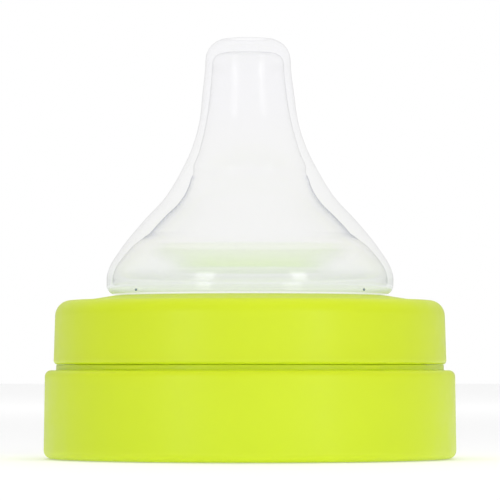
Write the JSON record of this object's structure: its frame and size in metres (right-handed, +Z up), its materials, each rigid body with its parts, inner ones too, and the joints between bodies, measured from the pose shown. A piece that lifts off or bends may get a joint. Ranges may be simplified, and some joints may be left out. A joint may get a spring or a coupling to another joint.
{
  "type": "feeding bottle teat and collar",
  "caption": "Drinking head of a wide-neck child's bottle: clear silicone teat held by a lime screw ring on a threaded lime adapter ring.",
  "frame": {"origin": "centre of the adapter ring's lower rim, which the part stands on", "axes": "+Z up the screw's axis to the teat's tip, -Y the front, +X to the right seen from the front"},
  "size_m": [0.0624, 0.0624, 0.0636],
  "materials": {
    "lime_plastic": "moulded polypropylene, satin gloss, slightly translucent",
    "clear_silicone": "clear liquid silicone rubber, polished mould",
    "seal_silicone": "milky silicone rubber, fine matt"
  },
  "bodies": {
    "adapter": {"adapter_ring": "lime_plastic", "bottle_seal": "seal_silicone"},
    "teat": {"teat": "clear_silicone"},
    "ring": {"screw_ring": "lime_plastic"}
  },
  "joints": [
    {"name": "head_lift", "type": "slide", "parent": "adapter", "child": "teat", "axis": [0, 0, 1], "range_m": [0, 0.006]},
    {"name": "ring_turn", "type": "hinge", "parent": "teat", "child": "ring", "pos_m": [0, 0, 0.02], "axis": [0, 0, 1], "range_deg": [0, 360]}
  ],
  "couplings": [
    {"joint": "head_lift", "follows": "ring_turn", "m_per_rad": 0.00095492}
  ]
}
